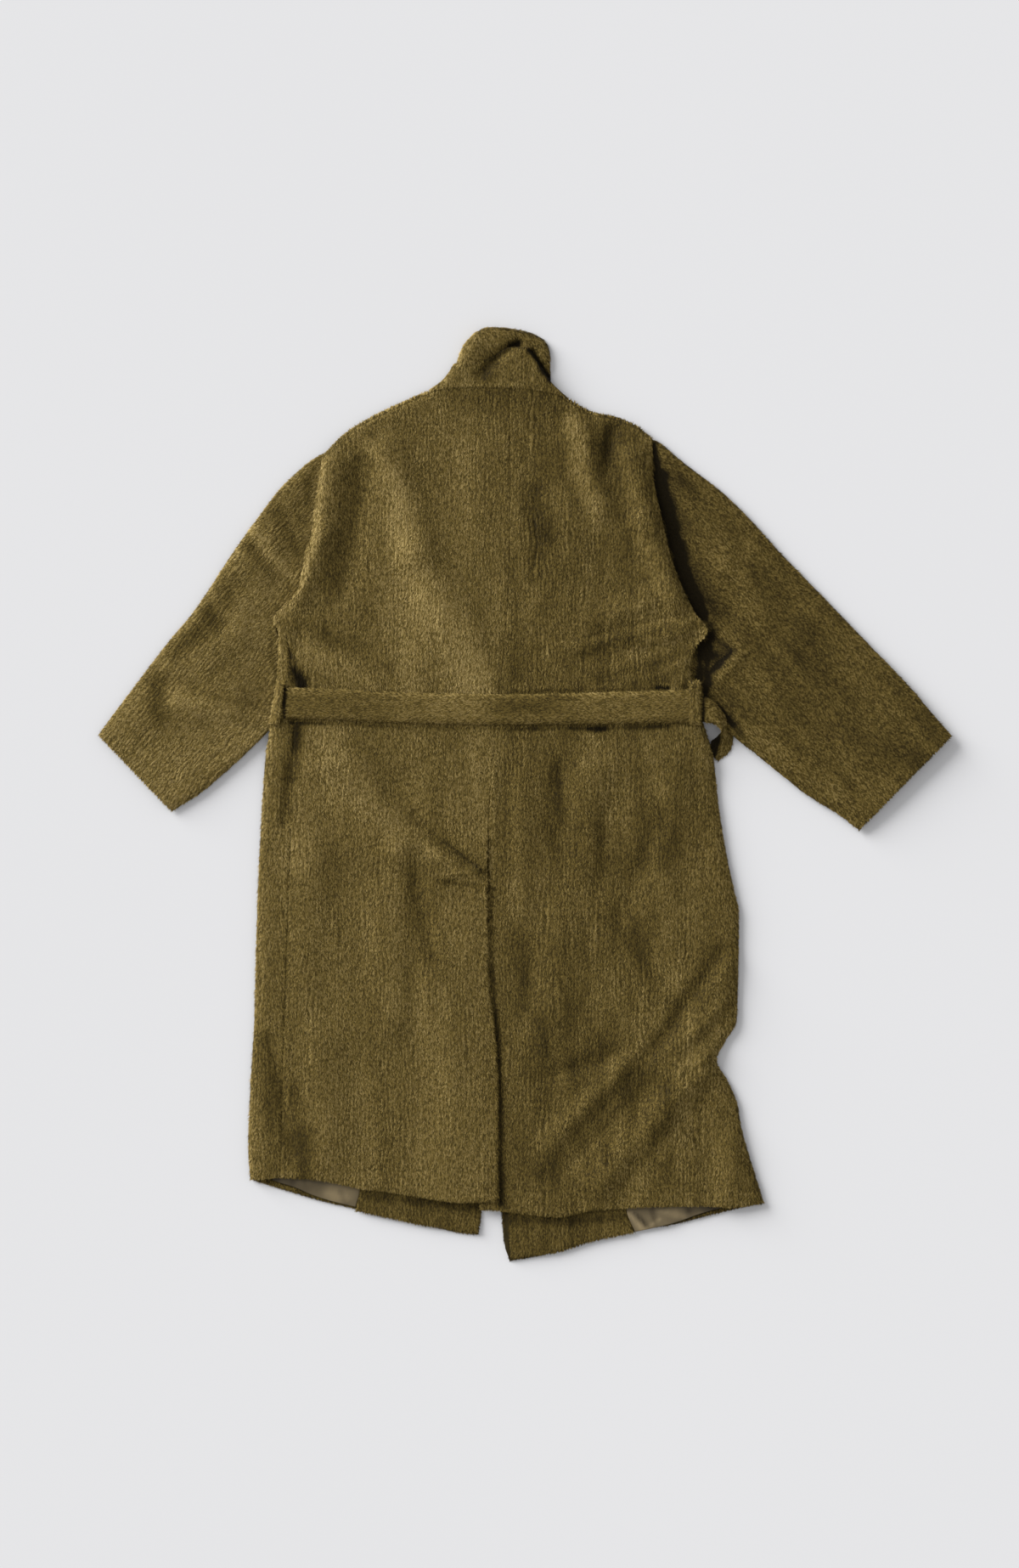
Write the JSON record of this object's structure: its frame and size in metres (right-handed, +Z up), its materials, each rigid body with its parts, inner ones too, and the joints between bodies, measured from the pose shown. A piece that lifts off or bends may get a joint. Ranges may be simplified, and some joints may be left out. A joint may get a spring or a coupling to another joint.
{
  "type": "double-breasted overcoat",
  "caption": "Long belted overcoat in brushed pile cloth, laid flat with its back up, with a turned-up collar, a back vent and a tie belt in loops.",
  "frame": {"origin": "centre of the coat's outline on the floor that it lies on", "axes": "+Z up from the floor, +Y from the hem to the collar, +X to the right as seen from above"},
  "size_m": [1.258, 1.378, 0.0289],
  "materials": {
    "pile_cloth": "olive brushed long-pile wool and mohair cloth, matte",
    "satin_lining": "smooth taupe satin",
    "horn": "dark horn, satin polish"
  },
  "bodies": {
    "root": {"back_left": "pile_cloth", "back_right": "pile_cloth", "side_left": "pile_cloth", "front_left": "pile_cloth", "front_right": "pile_cloth", "facing_left": "pile_cloth", "facing_right": "pile_cloth", "lining_left": "satin_lining", "lining_right": "satin_lining", "sleeve_left_upper": "pile_cloth", "sleeve_left_under": "pile_cloth", "sleeve_right_upper": "pile_cloth", "sleeve_right_under": "pile_cloth", "collar_back": "pile_cloth", "collar_front": "pile_cloth", "belt_back": "pile_cloth", "belt_side": "pile_cloth", "belt_front": "pile_cloth", "belt_loop_left": "pile_cloth", "belt_loop_right": "pile_cloth", "button_1": "horn", "button_2": "horn", "button_3": "horn", "button_4": "horn", "button_5": "horn", "button_6": "horn"}
  },
  "joints": []
}
